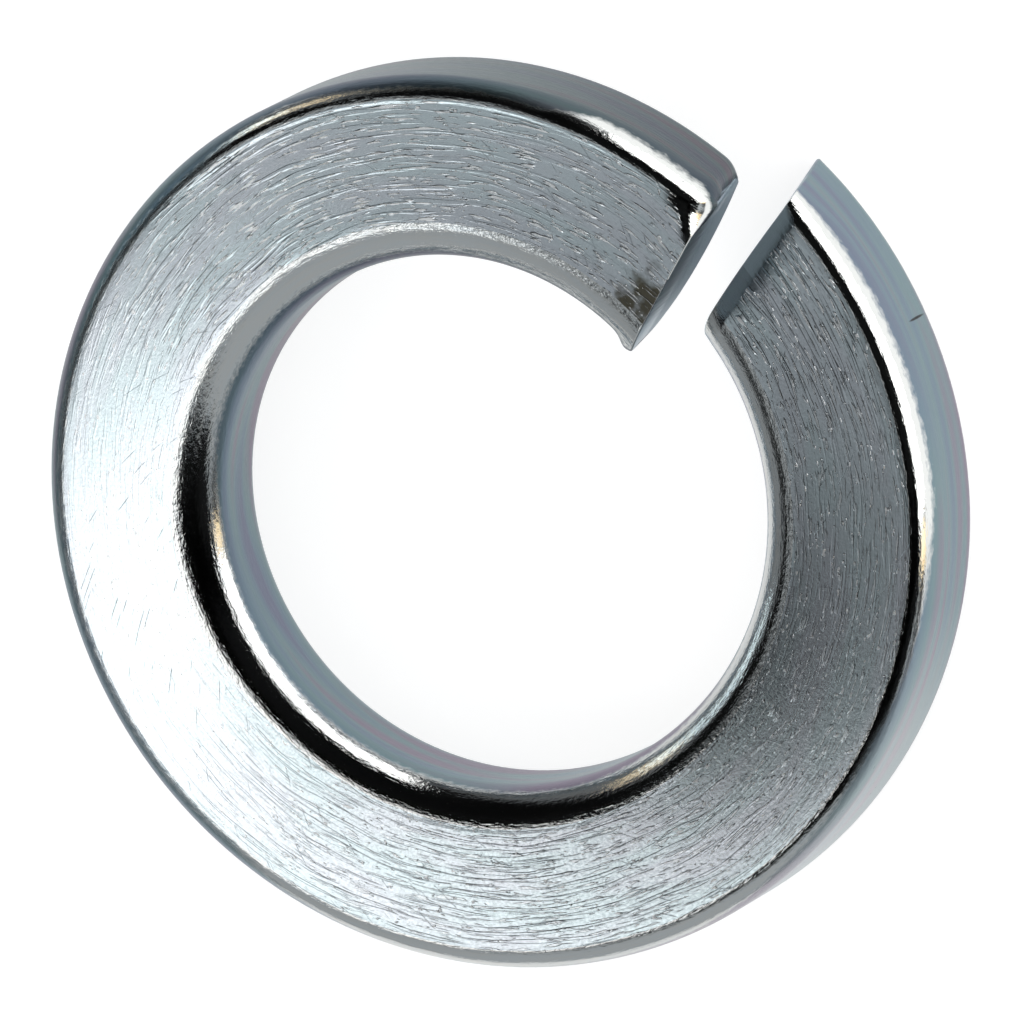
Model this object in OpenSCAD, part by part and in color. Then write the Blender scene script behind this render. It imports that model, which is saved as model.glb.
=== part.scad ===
// Spring lock washer: one coil of rolled steel wire, sheared off at both ends, that springs under a bolt.
// Millimetres. +Z is the bore axis, and the low end of the coil stands on z = 0.

/* [Ring] */
// Outside diameter
outer_d = 17.4; // [15:0.1:24]
// Bore diameter
bore_d = 10.44; // [6:0.02:11.5]
// Thickness of the wire
thickness = 2.34; // [1.6:0.02:3.6]
// Height that the coil gains over a full turn
rise = 2.8; // [0.4:0.1:6]

/* [Wire corners] */
// Radius of the two corners on the outside
outer_round = 0.4; // [0.2:0.02:0.6]
// Width across the face of the two corners on the bore side
inner_round_w = 0.74; // [0.3:0.02:1]
// Height down the wall of the two corners on the bore side
inner_round_h = 0.66; // [0.3:0.02:0.7]

/* [Cut ends] */
// Direction of the gap, anticlockwise from +X
gap_angle = 50; // [0:1:359]
// Width of the gap between the two cut faces, at the middle of each
end_gap = 0.43; // [0.2:0.01:3]
// Turn of the low end's cut away from the bore's centre line
low_skew = 5.8; // [0:0.1:15]
// Lean of the low end's cut, its foot reaching into the gap
low_lean = 10; // [0:0.5:15]
// Bulge of the low end's cut face at its middle
low_belly = 0.05; // [0:0.01:0.15]
// Turn of the high end's cut away from the bore's centre line
high_skew = 11.6; // [0:0.1:15]
// Lean of the high end's cut, its top reaching over the gap
high_lean = 8; // [0:0.5:15]
// Bulge of the high end's cut face at the middle of its foot
high_belly = 0.11; // [0:0.01:0.2]

/* [Rolled edges of the cuts] */
// How far the low end's top edge is dragged down by the shear
low_roll = 0.16; // [0:0.01:0.3]
// How far that edge's rounding reaches back along the coil
low_roll_back = 0.2; // [0.1:0.01:0.5]
// Rounding of the low end's edge on the bore side
low_bore_roll = 0.2; // [0:0.01:0.3]
// How far the high end's outer top corner is dragged down by the shear
high_roll = 0.34; // [0:0.01:0.4]
// How far that corner's rounding reaches back along the coil
high_roll_back = 0.8; // [0.3:0.01:1.5]
// Width of the top face, from its outer edge, that the rounding takes in
high_roll_w = 0.85; // [0.5:0.01:1.5]
// Rounding of the high end's edge on the outside wall
high_wall_roll = 0.26; // [0:0.01:0.35]
// How far that edge's rounding reaches back along the coil
high_wall_roll_back = 0.4; // [0.1:0.01:0.8]

/* [Hidden] */

outer_r = outer_d / 2;
bore_r = bore_d / 2;
mid_r = (outer_r + bore_r) / 2;
// A corner takes up no more than this share of the wire's thickness
corner_share = 0.42;
outer_corner = min(outer_round, corner_share * thickness);
inner_corner_h = min(inner_round_h, corner_share * thickness);
// A rolled edge sinks by no more than this share of the corner that it turns
roll_share = 0.85;
low_sink = min(low_roll, roll_share * outer_corner);
low_bore_sink = min(low_bore_roll, roll_share * inner_corner_h);
high_sink = min(high_roll, roll_share * outer_corner);
high_wall_sink = min(high_wall_roll, roll_share * outer_corner);

// The swept wire stands this far past the bore and the outside, and the true cylinders trim it
trim = 0.04;
// The corner arcs stop this many degrees short of the walls, and run on straight to the trimmed surface
arc_stop = 15;
arc_steps = 4;
top_steps = 5;
bottom_steps = 1;
// Rings along the coil: close together over the rolled edges, then one every few degrees
roll_steps = 5;
sweep_steps = 86;
roll_zone = max(low_roll_back, high_roll_back, high_wall_roll_back);
cylinder_sides = 180;
margin = 1;

steel = [0.66, 0.68, 0.70];

function clamp01(x) = max(0, min(1, x));
function smooth(x) = clamp01(x) * clamp01(x) * (3 - 2 * clamp01(x));

// A point of the wire's section is [radius, height, outward normal across, outward normal up]
function section_point(r, h, across, up) = [r, h, across / norm([across, up]), up / norm([across, up])];

function corner_arc(cr, ch, w, h, from, to) = [
    for (i = [0:arc_steps])
        let (a = from + (to - from) * i / arc_steps)
            section_point(cr + w * cos(a), ch + h * sin(a), cos(a) / w, sin(a) / h)
];

// Where a corner's last stretch, run on straight from the arc, meets the trimmed surface
function wall_point(cr, ch, w, h, a, wall_r) =
    let (over = abs(wall_r - cr - w * cos(a)))
        section_point(wall_r, ch + h * sin(a) - sign(sin(a)) * over * h * abs(cos(a)) / (w * abs(sin(a))),
            sign(cos(a)), 0);

function flat_points(from_r, to_r, h, up, steps) = [
    for (i = [1:1:steps - 1]) section_point(from_r + (to_r - from_r) * i / steps, h, 0, up)
];

outer_cr = outer_r - outer_corner;
inner_cr = bore_r + inner_round_w;
high_c = thickness - outer_corner;
high_ci = thickness - inner_corner_h;
section = concat(
    [wall_point(outer_cr, high_c, outer_corner, outer_corner, arc_stop, outer_r + trim)],
    corner_arc(outer_cr, high_c, outer_corner, outer_corner, arc_stop, 90),
    flat_points(outer_cr, inner_cr, thickness, 1, top_steps),
    corner_arc(inner_cr, high_ci, inner_round_w, inner_corner_h, 90, 180 - arc_stop),
    [wall_point(inner_cr, high_ci, inner_round_w, inner_corner_h, 180 - arc_stop, bore_r - trim)],
    [wall_point(inner_cr, inner_corner_h, inner_round_w, inner_corner_h, 180 + arc_stop, bore_r - trim)],
    corner_arc(inner_cr, inner_corner_h, inner_round_w, inner_corner_h, 180 + arc_stop, 270),
    flat_points(inner_cr, outer_cr, 0, -1, bottom_steps),
    corner_arc(outer_cr, outer_corner, outer_corner, outer_corner, 270, 360 - arc_stop),
    [wall_point(outer_cr, outer_corner, outer_corner, outer_corner, 360 - arc_stop, outer_r + trim)]
);

// Angle, clockwise from the middle of the gap, at which a slanted cut meets a section point.
// The cut runs through offset at the middle of the wire, turned by skew and leaning by lean.
function cut_angle(p, offset, skew, lean) =
    let (k = -tan(skew), c = offset - mid_r * k + (p[1] - thickness / 2) * tan(lean))
        atan(k) + asin(c / (p[0] * sqrt(1 + k * k)));
// A share that is 1 at the middle of the wire's width and 0 at the bore and the outside
function mid_width(r) = 1 - pow((r - mid_r) / (outer_r - mid_r), 2);
function low_cut(p) = cut_angle(p, end_gap / 2 - low_belly * mid_width(p[0]), low_skew, low_lean);
function high_cut(p) =
    let (bulge = high_belly * mid_width(p[0]) * (1 - p[1] / thickness))
        360 + cut_angle(p, bulge - end_gap / 2, high_skew, high_lean);

// The foot of the low end is the lowest point of the coil
foot_angle = low_cut([outer_cr, 0]);

// Rolled edges: [depth, reach back along the coil] at each end, for a section point
function high_edge(p) =
    let (near = smooth((p[0] - outer_r + high_roll_w) / high_roll_w), up = max(0, p[3]), out = max(0, p[2]))
        up + out > 0
            ? [near * (high_sink * up + high_wall_sink * out) / (up + out),
                (high_roll_back * up + high_wall_roll_back * out) / (up + out)]
            : [0, high_roll_back];
function low_edge(p) = [low_sink * max(0, p[3]) + low_bore_sink * max(0, -p[2]), low_roll_back];

// Depth of a quarter-ellipse rounding at a distance from the cut
function roll_depth(edge, distance) =
    distance >= edge[1] ? 0 : edge[0] * (1 - sqrt(1 - pow(1 - distance / edge[1], 2)));

// A section point set in by the rounding and carried round the coil to its angle
function placed(p, angle, depth) =
    let (r = p[0] - depth * p[2], h = p[1] - depth * p[3])
        [r * cos(gap_angle - angle), r * sin(gap_angle - angle), h + rise * (angle - foot_angle) / 360];

function degrees_of(distance, r) = distance / r * 180 / PI;
// Distances of the close rings from a cut, packed towards it
function ring_distance(i) = roll_zone * pow(i / roll_steps, 2);

low_rings = [
    for (i = [0:roll_steps - 1])
        let (d = ring_distance(i))
            [for (p = section) placed(p, low_cut(p) + degrees_of(d, p[0]), roll_depth(low_edge(p), d))]
];
middle_rings = [
    for (i = [0:sweep_steps]) [
        for (p = section)
            let (zone = degrees_of(roll_zone, p[0]), start = low_cut(p) + zone, stop = high_cut(p) - zone)
                placed(p, start + (stop - start) * i / sweep_steps, 0)
    ]
];
high_rings = [
    for (i = [roll_steps - 1:-1:0])
        let (d = ring_distance(i))
            [for (p = section) placed(p, high_cut(p) - degrees_of(d, p[0]), roll_depth(high_edge(p), d))]
];
rings = concat(low_rings, middle_rings, high_rings);

// One closed skin over the rings, with a face at each cut
module swept_wire() {
    count = len(section);
    last = len(rings) - 1;
    skin = [
        for (i = [0:last - 1], j = [0:count - 1], half = [0, 1])
            let (a = i * count + j, b = i * count + (j + 1) % count)
                half == 0 ? [a, b, b + count] : [a, b + count, a + count]
    ];
    low_face = [for (j = [count - 1:-1:0]) j];
    high_face = [for (j = [0:count - 1]) last * count + j];
    polyhedron(points = [for (ring = rings, p = ring) p], faces = concat(skin, [low_face, high_face]));
}

module lock_washer() {
    height = rise + thickness + 2 * margin;
    color(steel)
        difference() {
            intersection() {
                swept_wire();
                translate([0, 0, -margin]) cylinder(h = height, r = outer_r, $fn = cylinder_sides);
            }
            translate([0, 0, -margin]) cylinder(h = height, r = bore_r, $fn = cylinder_sides);
        }
}

lock_washer();
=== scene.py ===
import math

import bmesh
import bpy
from mathutils import Matrix, Quaternion, Vector


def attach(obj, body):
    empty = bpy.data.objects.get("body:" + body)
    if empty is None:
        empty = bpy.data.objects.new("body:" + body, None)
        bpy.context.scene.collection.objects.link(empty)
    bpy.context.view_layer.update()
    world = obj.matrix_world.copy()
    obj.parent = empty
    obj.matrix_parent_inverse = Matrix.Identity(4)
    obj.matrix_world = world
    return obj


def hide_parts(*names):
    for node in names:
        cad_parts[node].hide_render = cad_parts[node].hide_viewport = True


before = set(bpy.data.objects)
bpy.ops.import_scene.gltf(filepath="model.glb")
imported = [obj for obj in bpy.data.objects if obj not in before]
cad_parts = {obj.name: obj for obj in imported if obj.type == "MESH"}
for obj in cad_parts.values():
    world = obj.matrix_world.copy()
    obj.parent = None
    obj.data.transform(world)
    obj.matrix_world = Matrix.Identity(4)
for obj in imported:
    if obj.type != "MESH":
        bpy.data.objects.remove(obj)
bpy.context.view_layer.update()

# Coil of wire
# The washer is one piece of spring steel wire, rolled to a near-rectangular section, wound to a single left-hand
# turn, sheared off at both ends and zinc plated. Lengths are in millimetres until the mesh is scaled to metres.
MM = 0.001
outer_r = 8.7
bore_r = 5.22
thickness = 2.34
rise = 2.8
outer_round = 0.4
inner_round_w = 0.74
inner_round_h = 0.66
mid_r = (outer_r + bore_r) / 2
face_outer_r = outer_r - outer_round
face_inner_r = bore_r + inner_round_w

# The gap between the ends, and the two slanted, leaning and slightly bulged cuts. Angles are in degrees.
gap_angle = 50
end_gap = 0.43
low_skew, low_lean, low_belly = 5.8, 10, 0.05
high_skew, high_lean, high_belly = 11.6, 8, 0.11

# Edges rolled over by the shear: their depth and their reach back along the coil. The high end's outer top corner
# sinks furthest: the face domes down to it, and its rim is drawn down in a short lip.
low_roll, low_roll_back, low_roll_power = 0.055, 0.36, 1.4
low_bore_roll, low_bore_roll_back = 0.2, 0.2
high_wall_roll, high_wall_roll_back = 0.26, 0.4
high_dome_width, high_dome_back, high_dome_drop = 0.7, 1.3, 0.16
high_lip_width, high_lip_back, high_lip_drop = 0.9, 0.45, 0.4
rim_round = 0.03

# The shear also drew a horn from the low end's outer foot into the gap, and a bead on the high end's inner tip
horn_reach, horn_width, horn_height = 0.1, 0.7, 0.9
bead_size, bead_spread, bead_height, bead_back = 0.12, 0.22, 1.8, 0.16

# The outer top corner is drawn down into a taller bevel near both ends: where it is full and where it is gone, in
# degrees from the gap for the low end, and in millimetres from the cut for the high end. The bore-side top corner is
# wider round one place, whose middle and spread are in degrees from the gap.
bevel_height, bevel_power = 0.7, 2.15
low_bevel_full, low_bevel_until, low_bevel_gone = 10, 55, 85
high_bevel_full, high_bevel_gone = 1.5, 5.5
wide_corner, wide_middle, wide_spread = 0.18, 218, 26

# Steps of the mesh. The rings stand closer together towards the cuts.
corner_segments = 14
face_cuts = 15
wall_cuts = 5
coil_steps = 340
ring_packing = 0.9


def smooth(x):
    x = max(0.0, min(1.0, x))
    return x * x * (3 - 2 * x)


def cut_angle(r, h, offset, skew, lean):
    """Clockwise angle from the middle of the gap, in degrees, at which a slanted cut meets a section point."""
    k = -math.tan(math.radians(skew))
    c = offset - mid_r * k + (h - thickness / 2) * math.tan(math.radians(lean))
    return math.degrees(math.atan(k) + math.asin(c / (r * math.hypot(1, k))))


def mid_width(r):
    """1 at the middle of the wire's width, and 0 at the bore and the outside."""
    return 1 - ((r - mid_r) / (outer_r - mid_r)) ** 2


def low_cut(r, h):
    return cut_angle(r, h, end_gap / 2 - low_belly * mid_width(r), low_skew, low_lean)


def high_cut(r, h):
    bulge = high_belly * mid_width(r) * (1 - h / thickness)
    return 360 + cut_angle(r, h, bulge - end_gap / 2, high_skew, high_lean)


def roll_depth(depth, reach, distance):
    """Depth of a quarter-ellipse rounding at a distance from the cut."""
    along = max(0, min(1, distance / reach))
    return depth * (1 - math.sqrt(1 - (1 - along) ** 2))


def low_depth(r, across, up, distance):
    """Depth of the low end's rolled edge, where the wire's surface points across and up."""
    on_face = 1 - smooth((r - face_outer_r) / outer_round)
    slope = max(0, 1 - distance / low_roll_back) ** low_roll_power
    return max(low_roll * max(0, up) * on_face * slope,
               roll_depth(low_bore_roll * max(0, -across), low_bore_roll_back, distance),
               roll_depth(rim_round, rim_round, distance))


def high_depth(across, distance):
    """Depth of the high end's rolled edge on the outside wall."""
    depth = roll_depth(high_wall_roll * max(0, across), high_wall_roll_back, distance)
    return max(depth, roll_depth(rim_round, rim_round, distance))


def top_depth(r, h, angle, distance):
    """Depth of a section point below the flat face. The outer top corner takes in the bevel, and the dome and lip of
    the high end, whose cut lies at that distance."""
    below = thickness - h
    if r < mid_r or below > thickness / 2:
        return below
    bevel = smooth(angle / low_bevel_full)
    bevel *= 1 - smooth((angle - low_bevel_until) / (low_bevel_gone - low_bevel_until))
    bevel = max(bevel, 1 - smooth((distance - high_bevel_full) / (high_bevel_gone - high_bevel_full)))
    drop = outer_round + (bevel_height - outer_round) * bevel
    power = 2 + (bevel_power - 2) * bevel
    share = max(0, min(1, 1 - (outer_r - r) / outer_round))
    radial = drop * (1 - (1 - share ** power) ** (1 / power))
    lip = high_lip_drop * smooth((r - outer_r + high_lip_width) / (high_lip_width - outer_round))
    radial = (radial ** 3 + roll_depth(lip, high_lip_back, distance) ** 3) ** (1 / 3)
    inward = max(0, min(1, 1 - (face_outer_r - r) / high_dome_width))
    along = max(0, 1 - distance / high_dome_back)
    radial += high_dome_drop * smooth((math.hypot(inward, along) - 1) / (math.sqrt(2) - 1))
    if below > outer_round:
        return radial + (below - outer_round) * (thickness / 2 - radial) / (thickness / 2 - outer_round)
    return radial


def widened(r, h, angle):
    """Radius of a section point once the wider part of the bore-side top corner has pushed it outwards."""
    extra = wide_corner * math.exp(-((angle - wide_middle) / wide_spread) ** 2)
    if r > mid_r or h < thickness / 2:
        return r
    if r < face_inner_r:
        return bore_r + (r - bore_r) * (inner_round_w + extra) / inner_round_w
    return r + extra * (mid_r - r) / (mid_r - face_inner_r)


def horn_push(r, h, from_low):
    """How far the horn carries a point of the low end's outer foot into the gap."""
    push = horn_reach * smooth((r - outer_r + horn_width) / horn_width) * max(0, 1 - h / horn_height) ** 2
    return push * (1 - smooth(from_low / horn_width))


def bead_swell(r, h, from_high):
    """How far the bead on the high end's inner tip swells into the bore."""
    off_bead = math.dist((from_high, r, h), (bead_back, bore_r, bead_height))
    return bead_size * math.exp(-(off_bead / bead_spread) ** 2)


def section_normal(r, h):
    """Outward direction, across and up, of the wire's surface at a point of its section."""
    across, up = 0.0, 0.0
    if r > face_outer_r:
        across = (r - face_outer_r) / outer_round
        low, high = outer_round, thickness - outer_round
        up = min(0, h - low) / outer_round + max(0, h - high) / outer_round
    elif r < face_inner_r:
        across = (r - face_inner_r) / inner_round_w ** 2
        low, high = inner_round_h, thickness - inner_round_h
        up = (min(0, h - low) + max(0, h - high)) / inner_round_h ** 2
    else:
        up = 1 if h > thickness / 2 else -1
    size = math.hypot(across, up)
    return across / size, up / size


# Each point keeps its place on the coil, which the materials read: the distance along its middle, its radius, and
# its height in the section.
wire = bmesh.new()
coil_place = wire.verts.layers.float_vector.new("coil_place")

# The section is a rectangle in the XZ plane. Its bore-side corners are rounded while it is stretched upwards, so
# that they become ellipses, and then its outer corners are rounded.
rectangle = [wire.verts.new((r, 0, h)) for r, h in (
    (bore_r, 0), (outer_r, 0), (outer_r, thickness), (bore_r, thickness))]
wire.faces.new(rectangle)
stretch = inner_round_w / inner_round_h
bmesh.ops.scale(wire, vec=(1, 1, stretch), verts=wire.verts)
bmesh.ops.bevel(wire, geom=[v for v in wire.verts if v.co.x < mid_r], offset=inner_round_w, offset_type="OFFSET",
                affect="VERTICES", segments=corner_segments, profile=0.5, material=-1)
bmesh.ops.scale(wire, vec=(1, 1, 1 / stretch), verts=wire.verts)
bmesh.ops.bevel(wire, geom=[v for v in wire.verts if v.co.x > outer_r - outer_round / 2], offset=outer_round,
                offset_type="OFFSET", affect="VERTICES", segments=corner_segments, profile=0.5, material=-1)
bmesh.ops.delete(wire, geom=wire.faces[:], context="FACES_ONLY")

# The two faces are the edges over 2 mm long, and the two walls those from 0.5 to 2 mm
face_lengths, wall_lengths = (2, 3), (0.5, 2)
faces_and_walls = [[e for e in wire.edges if shortest < e.calc_length() < longest]
                   for shortest, longest in (face_lengths, wall_lengths)]
for edges, cuts in zip(faces_and_walls, (face_cuts, wall_cuts)):
    bmesh.ops.subdivide_edges(wire, edges=edges, cuts=cuts)
for v in wire.verts:
    v[coil_place] = (0, v.co.x, v.co.z)

# One left-hand turn, clockwise from the middle of the gap. The share of the turn is read back from the climb, and
# each ring is then moved to its own place between the two cuts.
spun_angle = 350
bmesh.ops.rotate(wire, cent=(0, 0, 0), matrix=Matrix.Rotation(math.radians(gap_angle), 3, "Z"), verts=wire.verts)
bmesh.ops.spin(wire, geom=wire.verts[:] + wire.edges[:], cent=(0, 0, 0), axis=(0, 0, 1),
               angle=-math.radians(spun_angle), dvec=(0, 0, rise / coil_steps), steps=coil_steps,
               use_duplicate=False)
foot_angle = low_cut(face_outer_r, 0)
for v in wire.verts:
    _, r, h = v[coil_place]
    share = (v.co.z - h) / rise
    share -= ring_packing * math.sin(2 * math.pi * share) / (2 * math.pi)
    start, stop = low_cut(r, h), high_cut(r, h)
    angle = start + (stop - start) * share
    v[coil_place] = (math.radians(angle) * mid_r, r, h)
    across, up = section_normal(r, h)
    from_low = math.radians(angle - start) * r
    from_high = math.radians(stop - angle) * r
    depth = max(low_depth(r, across, up, from_low), high_depth(across, from_high))
    climb = rise * (angle - foot_angle) / 360
    height = thickness - top_depth(r, h, angle, from_high) - depth * up + climb
    radius = widened(r, h, angle) - depth * across - bead_swell(r, h, from_high)
    turn = math.radians(gap_angle - angle) + horn_push(r, h, from_low) / r
    v.co = (radius * math.cos(turn), radius * math.sin(turn), height)

# The two cut faces: each rim is filled, and joined across from its top to its bottom
face_finish, edge_finish, cut_finish = 0, 1, 2
bmesh.ops.holes_fill(wire, edges=[e for e in wire.edges if e.is_boundary], sides=0)
for cap in [f for f in wire.faces if len(f.verts) > 4]:
    cap.material_index = cut_finish
    columns = {}
    for v in cap.verts:
        columns.setdefault(round(v[coil_place].y, 3), []).append(v)
    for column in columns.values():
        if len(column) == 2:
            bmesh.ops.connect_verts(wire, verts=column)

# The edge finish covers the walls, the round corners, and what the shear tilted away from the flat
steepest_face = math.cos(math.radians(6.5))
wire.normal_update()
for f in wire.faces:
    r = sum(v[coil_place].y for v in f.verts) / len(f.verts)
    flat = face_inner_r < r < face_outer_r and abs(f.normal.z) > steepest_face
    if f.material_index != cut_finish:
        f.material_index = face_finish if flat else edge_finish
    f.smooth = True
bmesh.ops.recalc_face_normals(wire, faces=wire.faces)
bmesh.ops.scale(wire, vec=(MM, MM, MM), verts=wire.verts)
coil_mesh = bpy.data.meshes.new("washer_coil")
wire.to_mesh(coil_mesh)
wire.free()
coil = bpy.data.objects.new("washer_coil", coil_mesh)
bpy.context.scene.collection.objects.link(coil)


def linear(hex_colour):
    """An sRGB hex value as linear red, green, blue and alpha."""
    parts = [int(hex_colour[i:i + 2], 16) / 255 for i in (1, 3, 5)]
    return tuple(p / 12.92 if p <= 0.04045 else ((p + 0.055) / 1.055) ** 2.4 for p in parts) + (1.0,)


def add_node(tree, kind, inputs=None, **settings):
    """Adds a node with its settings, and sets or links its sockets."""
    made = tree.nodes.new(kind)
    for name, value in settings.items():
        setattr(made, name, value)
    for socket, value in (inputs or {}).items():
        if isinstance(value, bpy.types.NodeSocket):
            tree.links.new(value, made.inputs[socket])
        else:
            made.inputs[socket].default_value = value
    return made


def plated(name, anisotropic=0.0):
    """An empty zinc plate material: its node tree, its shader, and the place on the coil that its patterns read."""
    material = bpy.data.materials.new(name)
    material.use_nodes = True
    tree = material.node_tree
    tree.nodes.clear()
    shader = add_node(tree, "ShaderNodeBsdfPrincipled", {"Metallic": 1.0, "Anisotropic": anisotropic})
    add_node(tree, "ShaderNodeOutputMaterial", {"Surface": shader.outputs[0]})
    place = add_node(tree, "ShaderNodeAttribute", attribute_name="coil_place").outputs["Vector"]
    coil_mesh.materials.append(material)
    return tree, shader, place


def streaks(tree, place, length, width, detail=2.0, start=0.0):
    """Noise drawn out along the coil, in streaks of about that length and width in millimetres."""
    drawn = add_node(tree, "ShaderNodeMapping", {
        "Vector": place, "Scale": (1 / length, 1 / width, 1 / width), "Location": (start, start, start)}).outputs[0]
    return add_node(tree, "ShaderNodeTexNoise", {
        "Vector": drawn, "Scale": 1.0, "Detail": detail, "Roughness": 0.6}).outputs[0]


def along_coil(tree, place, stops):
    """A value that changes along the coil, by (share of its length from the low end, value) stops."""
    along = add_node(tree, "ShaderNodeSeparateXYZ", {"Vector": place}).outputs["X"]
    share = add_node(tree, "ShaderNodeMath", {0: along, 1: 2 * math.pi * mid_r}, operation="DIVIDE").outputs[0]
    ramp = add_node(tree, "ShaderNodeValToRGB", {"Fac": share})
    for element, (position, value) in zip(ramp.color_ramp.elements, (stops[0], stops[-1])):
        element.position, element.color = position, (value, value, value, 1)
    for position, value in stops[1:-1]:
        ramp.color_ramp.elements.new(position).color = (value, value, value, 1)
    return ramp.outputs[0]


def finish_with(tree, shader, colour, roughness, normal):
    """Links a finish's colour, roughness and relief to its shader."""
    for socket, value in (("Base Color", colour), ("Roughness", roughness), ("Normal", normal)):
        tree.links.new(value, shader.inputs[socket])


# The flat faces are rolled: short raised lines run round them, with nicks and scratches, under clear passivated zinc.
# The lines glint bright on one side and dark on the other, over a satin ground whose gloss is drawn out across them.
# A low lip, thrown up by the rolls, runs along part of each border.
tree, shader, place = plated("zinc_plated_rolled_face", anisotropic=0.5)

# The lines wander a little sideways
wander_length, wander_width, wander_reach = 3.0, 1.2, 0.3
noise_middle = 0.5
wander = add_node(tree, "ShaderNodeMath", {
    0: streaks(tree, place, wander_length, wander_width), 1: -noise_middle}, operation="ADD").outputs[0]
wander = add_node(tree, "ShaderNodeMath", {0: wander, 1: wander_reach}, operation="MULTIPLY").outputs[0]
sideways = add_node(tree, "ShaderNodeCombineXYZ", {"Y": wander}).outputs[0]
wavy = add_node(tree, "ShaderNodeVectorMath", {0: place, 1: sideways}, operation="ADD").outputs[0]

# Ground: the grain of the plate
ground_size, ground_depth = 0.06, 0.0008
ground = add_node(tree, "ShaderNodeTexNoise", {"Vector": place, "Scale": 1 / ground_size, "Detail": 3.0}).outputs[0]
normal = add_node(tree, "ShaderNodeBump", {"Height": ground, "Distance": ground_depth * MM}).outputs[0]

# Rolling lines and shorter dashes. They are strong near both ends, and fade where the face is smooth. Each row gives
# the streak's length and width, where its noise starts, the noise at its foot and at its top, and its depth.
line_strength = along_coil(tree, place, (
    (0.0, 1.0), (0.05, 0.8), (0.09, 0.15), (0.25, 0.15), (0.36, 0.45), (0.5, 0.4), (0.57, 0.15), (0.7, 0.15),
    (0.77, 0.7), (0.86, 0.4), (1.0, 0.15)))
dash_strength = along_coil(tree, place, (
    (0.0, 1.0), (0.06, 0.8), (0.1, 0.3), (0.25, 0.3), (0.36, 0.3), (0.5, 0.2), (0.57, 0.1), (0.7, 0.15),
    (0.78, 1.0), (1.0, 0.8)))
for length, width, start, foot, top, depth, strength in (
        (2.2, 0.09, 3.0, 0.54, 0.62, 0.004, line_strength),
        (0.5, 0.06, 7.0, 0.57, 0.65, 0.005, dash_strength)):
    noise = streaks(tree, wavy, length, width, detail=1.0, start=start)
    line = add_node(tree, "ShaderNodeMapRange", {"Value": noise, "From Min": foot, "From Max": top}).outputs[0]
    normal = add_node(tree, "ShaderNodeBump", {
        "Strength": strength, "Height": line, "Distance": depth * MM, "Normal": normal}).outputs[0]
rubbed = add_node(tree, "ShaderNodeMath", {0: line, 1: dash_strength}, operation="MULTIPLY").outputs[0]

# Nicks, fewest on the side where the face is smooth
nick_length, nick_width, nick_foot, nick_top, nick_depth = 0.16, 0.07, 0.68, 0.73, 0.005
nick = add_node(tree, "ShaderNodeMapRange", {
    "Value": streaks(tree, wavy, nick_length, nick_width, detail=1.0, start=13.0),
    "From Min": nick_foot, "From Max": nick_top}).outputs[0]
nick_strength = along_coil(tree, place, ((0.0, 1.0), (0.4, 0.9), (0.5, 0.08), (0.7, 0.08), (0.8, 0.8), (1.0, 1.0)))
normal = add_node(tree, "ShaderNodeBump", {
    "Strength": nick_strength, "Height": nick, "Distance": nick_depth * MM, "Normal": normal}).outputs[0]

# Scratches from handling, which cross the lines at a slant
scratch_length, scratch_width, scratch_foot, scratch_top, scratch_depth = 0.9, 0.035, 0.79, 0.84, 0.002
scratch_slant = math.radians(38)
slanted = add_node(tree, "ShaderNodeMapping", {"Vector": place, "Rotation": (0, 0, scratch_slant)}).outputs[0]
scratch = add_node(tree, "ShaderNodeMapRange", {
    "Value": streaks(tree, slanted, scratch_length, scratch_width, detail=0.0, start=23.0),
    "From Min": scratch_foot, "From Max": scratch_top}).outputs[0]
normal = add_node(tree, "ShaderNodeBump", {
    "Height": scratch, "Distance": scratch_depth * MM, "Normal": normal}).outputs[0]

# Lips: each row gives the border, how far the lip's foot lies from it, and the part of the coil that has it
ragged_length, ragged_width, ragged_reach, lip_depth = 0.5, 0.1, 0.04, 0.006
radius = add_node(tree, "ShaderNodeSeparateXYZ", {"Vector": place}).outputs["Y"]
ragged = add_node(tree, "ShaderNodeMath", {
    0: streaks(tree, place, ragged_length, ragged_width, start=17.0), 1: ragged_reach, 2: radius},
    operation="MULTIPLY_ADD").outputs[0]
for border, inward, lipped in (
        (face_outer_r, -0.07, ((0.0, 0.0), (0.76, 0.0), (0.8, 1.0), (0.95, 1.0), (0.97, 0.0))),
        (face_inner_r + 0.02, 0.12, ((0.0, 0.0), (0.16, 0.0), (0.24, 1.0), (0.42, 1.0), (0.46, 0.0)))):
    lip = add_node(tree, "ShaderNodeMapRange", {
        "Value": ragged, "From Min": border + inward, "From Max": border}, interpolation_type="SMOOTHSTEP").outputs[0]
    lip_strength = along_coil(tree, place, lipped)
    normal = add_node(tree, "ShaderNodeBump", {
        "Strength": lip_strength, "Height": lip, "Distance": lip_depth * MM, "Normal": normal}).outputs[0]

# The passivate tints the plate in long patches
plate_tones = "#BEC9CC", "#C1C6CB"
patch_length, patch_width, patch_foot, patch_top = 4.0, 0.8, 0.4, 0.6
tint = add_node(tree, "ShaderNodeMapRange", {
    "Value": streaks(tree, wavy, patch_length, patch_width, start=11.0),
    "From Min": patch_foot, "From Max": patch_top}).outputs[0]
colour = add_node(tree, "ShaderNodeMix", {
    "Factor": tint, "A": linear(plate_tones[0]), "B": linear(plate_tones[1])}, data_type="RGBA").outputs["Result"]

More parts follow.
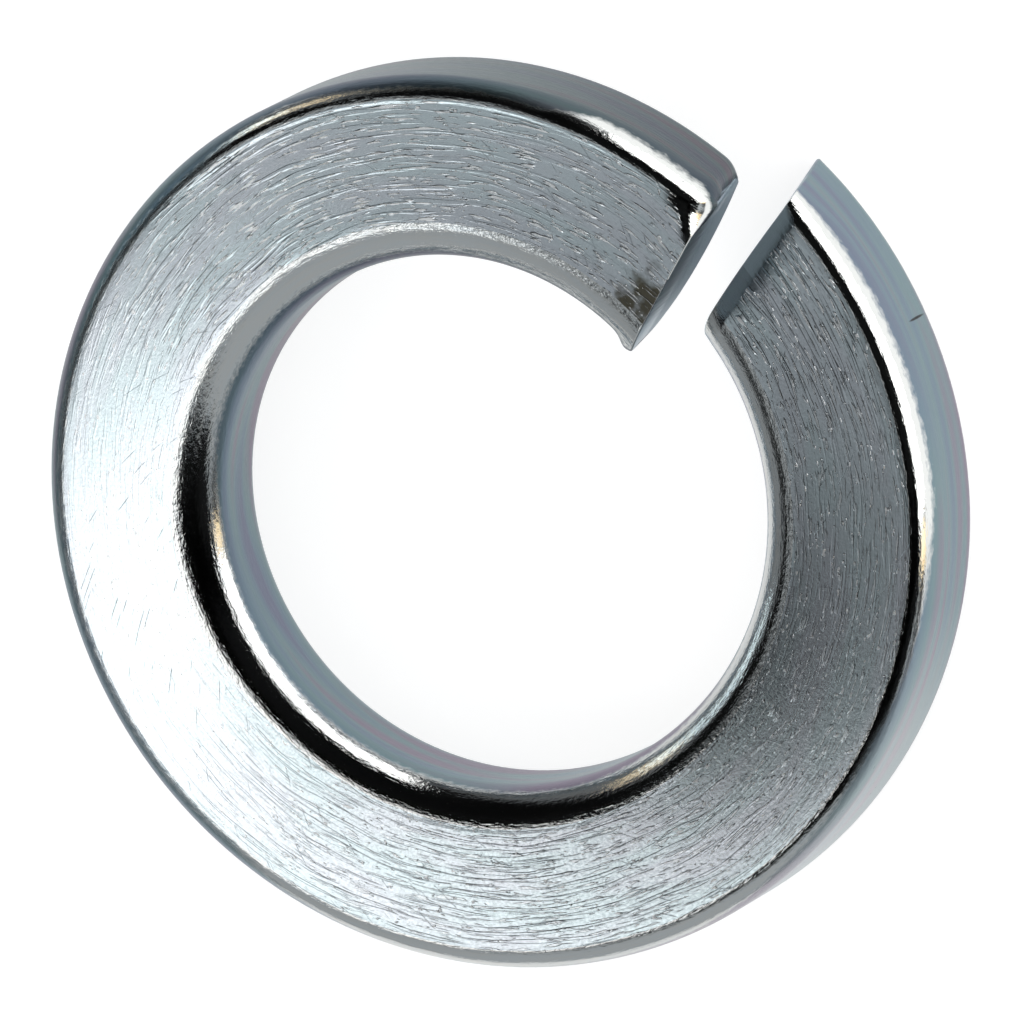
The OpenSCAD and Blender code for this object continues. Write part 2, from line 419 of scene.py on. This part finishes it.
# Brown tarnish clouds the bore side of the high end. It grows inwards between two radii, and shows where this and
# the clouds add up to more than its foot.
tarnish_tone, cloud_size = "#5E5A4E", 0.35
tarnish_from_r, tarnish_full_r, tarnish_growth = 7.4, 6.5, 0.55
tarnish_foot, tarnish_top = 0.75, 1.05
cloud = add_node(tree, "ShaderNodeTexNoise", {"Vector": place, "Scale": 1 / cloud_size, "Detail": 4.0}).outputs[0]
bore_side = add_node(tree, "ShaderNodeMapRange", {
    "Value": radius, "From Min": tarnish_from_r, "From Max": tarnish_full_r, "To Max": tarnish_growth}).outputs[0]
at_end = along_coil(tree, place, ((0.0, 0.0), (0.976, 0.0), (0.99, 1.0)))
tarnish = add_node(tree, "ShaderNodeMath", {0: bore_side, 1: at_end}, operation="MULTIPLY").outputs[0]
tarnish = add_node(tree, "ShaderNodeMath", {0: tarnish, 1: cloud}, operation="ADD").outputs[0]
tarnish = add_node(tree, "ShaderNodeMapRange", {
    "Value": tarnish, "From Min": tarnish_foot, "From Max": tarnish_top}).outputs[0]
colour = add_node(tree, "ShaderNodeMix", {
    "Factor": tarnish, "A": colour, "B": linear(tarnish_tone)}, data_type="RGBA").outputs["Result"]

# The grain varies the gloss. The tops of the dashes and nicks are rubbed bare and white, and scatter a little more.
face_smoothest, face_roughest = 0.1, 0.26
bare_tone, bare_roughness = "#F6F7F7", 0.12
gloss = add_node(tree, "ShaderNodeMapRange", {
    "Value": ground, "To Min": face_smoothest, "To Max": face_roughest}).outputs[0]
bare = add_node(tree, "ShaderNodeMath", {0: rubbed, 1: nick}, operation="MAXIMUM").outputs[0]
colour = add_node(tree, "ShaderNodeMix", {
    "Factor": bare, "A": colour, "B": linear(bare_tone)}, data_type="RGBA").outputs["Result"]
gloss = add_node(tree, "ShaderNodeMath", {
    0: bare, 1: bare_roughness, 2: gloss}, operation="MULTIPLY_ADD").outputs[0]
finish_with(tree, shader, colour, gloss, normal)

# The gloss is drawn out across the lines, away from the bore's axis
spot = add_node(tree, "ShaderNodeTexCoord").outputs["Object"]
spot = add_node(tree, "ShaderNodeVectorMath", {0: spot, 1: (1, 1, 0)}, operation="MULTIPLY").outputs[0]
across = add_node(tree, "ShaderNodeVectorMath", {0: spot}, operation="NORMALIZE").outputs[0]
tree.links.new(across, shader.inputs["Tangent"])

# The edges are rolled too. Their round corners are burnished bright, with a fine grain that frays what they mirror.
# They fade into satin walls with a thicker passivate film, which shows violet, green and steel blue stripes. The
# film's darker colour is partly its own tint and partly painted shade, for the dim surroundings that the walls
# mirror.
tree, shader, place = plated("zinc_plated_rolled_edge")
grain_length, grain_width = 0.14, 0.05
pull_length, pull_width = 0.9, 0.09
grain = streaks(tree, place, grain_length, grain_width, detail=3.0)
pull = streaks(tree, place, pull_length, pull_width, start=5.0)

# The burnish adds to how far up the surface faces. Outside it reaches furthest down near both ends, and misses the
# corner for a stretch past half way round. Inside it reaches down most a fifth of the way and half way round.
film_lead_outside = 0.3
place_parts = add_node(tree, "ShaderNodeSeparateXYZ", {"Vector": place})
outside = add_node(tree, "ShaderNodeMath", {
    0: place_parts.outputs["Y"], 1: mid_r}, operation="GREATER_THAN").outputs[0]
burnish_inside = along_coil(tree, place, (
    (0.0, 0.0), (0.12, 0.1), (0.2, 0.2), (0.28, 0.15), (0.34, 0.05), (0.42, 0.2), (0.62, 0.2), (0.68, 0.0)))
burnish_outside = along_coil(tree, place, (
    (0.0, 0.72), (0.12, 0.7), (0.17, 0.4), (0.21, 0.05), (0.27, 0.2), (0.31, 0.5), (0.42, 0.5), (0.49, 0.0),
    (0.78, 0.0), (0.82, 0.3), (0.86, 0.1), (0.922, 0.1), (0.942, 0.7), (1.0, 0.66)))
burnished = add_node(tree, "ShaderNodeMix", {
    "Factor": outside, "A": burnish_inside, "B": burnish_outside}, data_type="RGBA").outputs["Result"]
burnished = add_node(tree, "ShaderNodeMath", {
    0: outside, 1: -film_lead_outside, 2: burnished}, operation="MULTIPLY_ADD").outputs[0]

# The film, with its painted shade, starts where facing up, the grain and the burnish add up to the first value, and
# is full at the second, so that it lies on the surfaces that face sideways and down
film_from, film_full, grain_share = 0.91, 0.75, 0.3
facing = add_node(tree, "ShaderNodeTexCoord").outputs["Normal"]
facing = add_node(tree, "ShaderNodeSeparateXYZ", {"Vector": facing}).outputs["Z"]
facing = add_node(tree, "ShaderNodeMath", {0: facing}, operation="ABSOLUTE").outputs[0]
facing = add_node(tree, "ShaderNodeMath", {
    0: grain, 1: grain_share, 2: facing}, operation="MULTIPLY_ADD").outputs[0]
facing = add_node(tree, "ShaderNodeMath", {0: facing, 1: burnished}, operation="ADD").outputs[0]
wall = add_node(tree, "ShaderNodeMapRange", {
    "Value": facing, "From Min": film_from, "From Max": film_full}).outputs[0]

# Painted light: the film is taken off along one side of the outside, which leaves that stretch of wall in bright,
# glossy metal for the brighter surroundings that it mirrors
painted_wall_light = along_coil(tree, place, (
    (0.0, 0.0), (0.16, 0.0), (0.21, 0.25), (0.3, 0.35), (0.42, 0.5), (0.49, 0.1), (0.7, 0.0)))
painted_wall_light = add_node(tree, "ShaderNodeMath", {0: painted_wall_light, 1: outside}, operation="MULTIPLY").outputs[0]
film_kept = add_node(tree, "ShaderNodeMath", {0: 1.0, 1: painted_wall_light}, operation="SUBTRACT").outputs[0]
wall = add_node(tree, "ShaderNodeMath", {0: wall, 1: film_kept}, operation="MULTIPLY").outputs[0]

# The stripes of the film, with painted shade that darkens the walls towards the high end
stripe_length, stripe_width, stripe_foot, stripe_top = 7.0, 0.42, 0.3, 0.7
violet, steel_blue, green, mauve = "#777D90", "#778996", "#7B9095", "#87808F"
stripes = add_node(tree, "ShaderNodeMapRange", {
    "Value": streaks(tree, place, stripe_length, stripe_width, detail=0.5),
    "From Min": stripe_foot, "From Max": stripe_top}).outputs[0]
film_and_painted_shade = add_node(tree, "ShaderNodeValToRGB", {"Fac": stripes})
film_and_painted_shade.color_ramp.elements[0].color = linear(violet)
film_and_painted_shade.color_ramp.elements[1].color = linear(mauve)
for position, tone in ((0.35, steel_blue), (0.65, green)):
    film_and_painted_shade.color_ramp.elements.new(position).color = linear(tone)
# Painted shade: the walls grow darker towards the high end
painted_wall_shade = along_coil(tree, place, ((0.0, 1.0), (0.3, 0.95), (0.7, 0.8), (0.85, 0.48), (1.0, 0.34)))
film_and_painted_shade = add_node(tree, "ShaderNodeMix", {
    "Factor": 1.0, "A": film_and_painted_shade.outputs[0], "B": painted_wall_shade}, data_type="RGBA", blend_type="MULTIPLY").outputs["Result"]

# The metal of the corners, palest where the burnish is strongest
cool_zinc, warm_zinc, pale_zinc = "#C2C8CB", "#C9C7C2", "#E4E6E4"
pale_from, pale_full = 0.2, 0.36
bright = add_node(tree, "ShaderNodeMix", {
    "Factor": pull, "A": linear(cool_zinc), "B": linear(warm_zinc)}, data_type="RGBA").outputs["Result"]
paler = add_node(tree, "ShaderNodeMapRange", {
    "Value": burnished, "From Min": pale_from, "From Max": pale_full}).outputs[0]
bright = add_node(tree, "ShaderNodeMix", {
    "Factor": paler, "A": bright, "B": linear(pale_zinc)}, data_type="RGBA").outputs["Result"]
# The walls take the film's tint with its painted shade, and the corners the bright metal
colour = add_node(tree, "ShaderNodeMix", {
    "Factor": wall, "A": bright, "B": film_and_painted_shade}, data_type="RGBA").outputs["Result"]

# A short dark gouge runs down the outside near the low end: its middle along the coil and up the section, its half
# width and half length, and the share of them that is quite dark
gouge_along, gouge_height, gouge_width, gouge_length = 2.7, 0.78, 0.025, 0.4
gouge_tone, gouge_core = "#2B2D31", 0.6
off_gouge = add_node(tree, "ShaderNodeMapping", {
    "Vector": place, "Scale": (1 / gouge_width, 1, 1 / gouge_length),
    "Location": (-gouge_along / gouge_width, -outer_r, -gouge_height / gouge_length)}).outputs[0]
off_gouge = add_node(tree, "ShaderNodeVectorMath", {0: off_gouge}, operation="LENGTH").outputs["Value"]
gouge = add_node(tree, "ShaderNodeMapRange", {
    "Value": off_gouge, "From Min": 1.0, "From Max": gouge_core}).outputs[0]
colour = add_node(tree, "ShaderNodeMix", {
    "Factor": gouge, "A": colour, "B": linear(gouge_tone)}, data_type="RGBA").outputs["Result"]

# The grain and the longer pull marks fray what the corners mirror, and the film dulls the walls
fray_depth, pull_share, film_roughness = 0.011, 0.5, 0.27
corner_smoothest, corner_roughest = 0.04, 0.16
relief = add_node(tree, "ShaderNodeMix", {"Factor": pull_share, "A": grain, "B": pull}).outputs[0]
frayed = add_node(tree, "ShaderNodeBump", {"Height": relief, "Distance": fray_depth * MM}).outputs[0]
polish = add_node(tree, "ShaderNodeMapRange", {
    "Value": grain, "To Min": corner_smoothest, "To Max": corner_roughest}).outputs[0]
gloss = add_node(tree, "ShaderNodeMath", {
    0: wall, 1: film_roughness, 2: polish}, operation="MULTIPLY_ADD").outputs[0]
finish_with(tree, shader, colour, gloss, frayed)

# The cut ends are sheared: a burnished band scored along the stroke, then a dull torn zone down to the foot.
score_along, score_width, score_length, tear_size = 1 / 5, 1 / 14, 1 / 0.9, 1 / 7
torn_until, scored_from = 0.42 * thickness, 0.55 * thickness
cut_depth, torn_roughness, scored_roughness = 0.02, 0.5, 0.3
cut_tones = "#8E93A6", "#8FA6A8"
tree, shader, place = plated("zinc_plated_sheared_end")
stroke = add_node(tree, "ShaderNodeMapping", {
    "Vector": place, "Scale": (1 / score_along, 1 / score_width, 1 / score_length)}).outputs[0]
scored = add_node(tree, "ShaderNodeTexNoise", {"Vector": stroke, "Scale": 1.0, "Detail": 3.0}).outputs[0]
torn = add_node(tree, "ShaderNodeTexNoise", {"Vector": place, "Scale": 1 / tear_size, "Detail": 4.0}).outputs[0]
height = add_node(tree, "ShaderNodeSeparateXYZ", {"Vector": place}).outputs["Z"]
banded = add_node(tree, "ShaderNodeMapRange", {
    "Value": height, "From Min": torn_until, "From Max": scored_from}).outputs[0]
relief = add_node(tree, "ShaderNodeMix", {"Factor": banded, "A": torn, "B": scored}).outputs[0]
rough = add_node(tree, "ShaderNodeBump", {"Height": relief, "Distance": cut_depth * MM}).outputs[0]
gloss = add_node(tree, "ShaderNodeMapRange", {
    "Value": banded, "To Min": torn_roughness, "To Max": scored_roughness}).outputs[0]
colour = add_node(tree, "ShaderNodeMix", {
    "Factor": scored, "A": linear(cut_tones[0]), "B": linear(cut_tones[1])}, data_type="RGBA").outputs["Result"]
finish_with(tree, shader, colour, gloss, rough)

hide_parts("lock_washer")
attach(coil, "root")

# Floor
# A sheet of matt white paper, on which the washer lies. It shows white to the camera and in the metal, and keeps the
# washer's shadow. Half its side is in metres.
sheet_half = 1.0
paper_grey, paper_glow = 0.45, 0.7
floor_mesh = bpy.data.meshes.new("floor")
sheet = bmesh.new()
bmesh.ops.create_grid(sheet, x_segments=1, y_segments=1, size=sheet_half)
sheet.to_mesh(floor_mesh)
sheet.free()
floor = bpy.data.objects.new("floor", floor_mesh)
bpy.context.scene.collection.objects.link(floor)
paper = bpy.data.materials.new("matt_white_paper")
paper.use_nodes = True
tree = paper.node_tree
tree.nodes.clear()
path = add_node(tree, "ShaderNodeLightPath")
shown = add_node(tree, "ShaderNodeMath", {
    0: path.outputs["Is Camera Ray"], 1: path.outputs["Is Glossy Ray"]}, operation="MAXIMUM").outputs[0]
shown = add_node(tree, "ShaderNodeMath", {
    0: shown, 1: path.outputs["Is Transmission Ray"]}, operation="MAXIMUM").outputs[0]
glow = add_node(tree, "ShaderNodeMath", {0: shown, 1: paper_glow}, operation="MULTIPLY").outputs[0]
matt = add_node(tree, "ShaderNodeBsdfDiffuse", {"Color": (paper_grey, paper_grey, paper_grey, 1)})
white = add_node(tree, "ShaderNodeEmission", {"Strength": glow})
both = add_node(tree, "ShaderNodeAddShader", {0: matt.outputs[0], 1: white.outputs[0]})
add_node(tree, "ShaderNodeOutputMaterial", {"Surface": both.outputs[0]})
floor_mesh.materials.append(paper)


# Light
# Soft boxes stand round the washer in a dim room whose ceiling is dark, so that the metal shows light and dark bands.
def toward(azimuth, tilt):
    """Direction by its azimuth, clockwise from +Y, and its tilt from straight up."""
    a, t = math.radians(azimuth), math.radians(tilt)
    return Vector((math.sin(t) * math.sin(a), math.sin(t) * math.cos(a), math.cos(t)))


# The lamps' distance, in metres, and their colours
light_distance = 0.2
daylight, lamp_yellow, sky_blue = "#FFFFFF", "#FFE2B0", "#DCEFF5"


def softbox(name, azimuth, tilt, width, height, radiance, colour=daylight, roll=0, glossy=True):
    """A rectangular lamp of that angular width and height, in degrees, as the washer sees it."""
    lamp = bpy.data.lights.new(name, "AREA")
    lamp.shape = "RECTANGLE"
    lamp.size = 2 * light_distance * math.tan(math.radians(width / 2))
    lamp.size_y = 2 * light_distance * math.tan(math.radians(height / 2))
    lamp.energy = radiance * math.pi * lamp.size * lamp.size_y
    lamp.color = linear(colour)[:3]
    box = bpy.data.objects.new(name, lamp)
    direction = toward(azimuth, tilt)
    box.location = direction * light_distance
    box.rotation_mode = "QUATERNION"
    box.rotation_quaternion = direction.to_track_quat("Z", "Y") @ Quaternion((0, 0, 1), math.radians(roll))
    box.visible_camera = False
    box.visible_glossy = glossy
    bpy.context.scene.collection.objects.link(box)


softbox("key", azimuth=227.3, tilt=28.6, width=7.3, height=20.8, radiance=2.3, roll=-13)
softbox("side_box", azimuth=60, tilt=70, width=62, height=40, radiance=2.6)
softbox("strip", azimuth=15, tilt=72, width=22, height=36, radiance=2.6)
softbox("warm_box", azimuth=99, tilt=76, width=8, height=26, radiance=1.6, colour=lamp_yellow)
softbox("warm_spot", azimuth=302, tilt=63, width=14, height=12, radiance=0.9, colour=lamp_yellow)
softbox("cool_box", azimuth=286, tilt=66, width=30, height=9, radiance=1.9, colour=sky_blue)
softbox("overhead", azimuth=0, tilt=0, width=70, height=70, radiance=1.4, glossy=False)

world = bpy.data.worlds.new("studio")
bpy.context.scene.world = world
world.use_nodes = True
tree = world.node_tree
tree.nodes.clear()
direction = add_node(tree, "ShaderNodeTexCoord").outputs["Generated"]


def patch(azimuth, tilt, inner, outer, level_in, level_out=1):
    """A round patch of the room: one level inside the inner angle, fading to the other at the outer angle."""
    nearness = add_node(tree, "ShaderNodeVectorMath", {
        0: direction, 1: toward(azimuth, tilt)}, operation="DOT_PRODUCT").outputs["Value"]
    return add_node(tree, "ShaderNodeMapRange", {
        "Value": nearness, "From Min": math.cos(math.radians(outer)), "From Max": math.cos(math.radians(inner)),
        "To Min": level_out, "To Max": level_in}, interpolation_type="SMOOTHSTEP").outputs[0]


# The room is lighter towards -Y. Its ceiling has black patches, which the round corners mirror as dark bands. The
# last three patches lie near the place that the flat faces mirror, and make it paler or dimmer.
room_tone = "#F0F6FA"
black = 0.02
strength = patch(azimuth=165, tilt=80, inner=30, outer=120, level_in=0.58, level_out=0.2)
for shade in (
        patch(azimuth=20, tilt=32, inner=44, outer=53, level_in=black),
        patch(azimuth=276, tilt=42, inner=11, outer=15, level_in=black),
        patch(azimuth=118, tilt=43, inner=20, outer=23, level_in=black),
        patch(azimuth=111, tilt=85, inner=10, outer=18, level_in=0.2),
        patch(azimuth=191, tilt=15, inner=10, outer=20, level_in=black),
        patch(azimuth=150, tilt=23, inner=13, outer=18, level_in=black),
        patch(azimuth=253, tilt=47, inner=8, outer=12, level_in=0.1),
        patch(azimuth=252, tilt=29, inner=3, outer=9, level_in=1.55),
        patch(azimuth=234, tilt=40, inner=2, outer=5, level_in=3),
        patch(azimuth=245, tilt=18, inner=3, outer=7, level_in=0.6)):
    strength = add_node(tree, "ShaderNodeMath", {0: strength, 1: shade}, operation="MULTIPLY").outputs[0]
room = add_node(tree, "ShaderNodeBackground", {"Color": linear(room_tone), "Strength": strength})
backdrop = add_node(tree, "ShaderNodeBackground", {"Color": (1, 1, 1, 1), "Strength": 1.0})
seen = add_node(tree, "ShaderNodeLightPath").outputs["Is Camera Ray"]
either = add_node(tree, "ShaderNodeMixShader", {0: seen, 1: room.outputs[0], 2: backdrop.outputs[0]})
add_node(tree, "ShaderNodeOutputWorld", {"Surface": either.outputs[0]})

# Camera
# It looks down at the washer from the side of the gap, from far off with a long lens. The top of its picture is +Y.
# Its distance is in metres, and the point that it aims at is given in millimetres.
camera_azimuth, camera_tilt, camera_distance = 58.54, 26.71, 0.4084
sensor_width, focal_length = 36, 766.6
nearest_seen, furthest_seen = 0.01, 10
aim_height, aim_right, aim_down = 2.568, 0.180, 0.042
back = toward(camera_azimuth, camera_tilt)
right = Vector((0, 1, 0)).cross(back).normalized()
up = back.cross(right)
aim = (Vector((0, 0, aim_height)) + aim_right * right - aim_down * up) * MM
lens = bpy.data.cameras.new("camera")
lens.sensor_width = sensor_width
lens.lens = focal_length
lens.clip_start, lens.clip_end = nearest_seen, furthest_seen
camera = bpy.data.objects.new("camera", lens)
turned = Matrix((right, up, back)).transposed().to_4x4()
camera.matrix_world = Matrix.Translation(aim + back * camera_distance) @ turned
bpy.context.scene.collection.objects.link(camera)
bpy.context.scene.camera = camera
bpy.context.scene.view_settings.view_transform = "Standard"
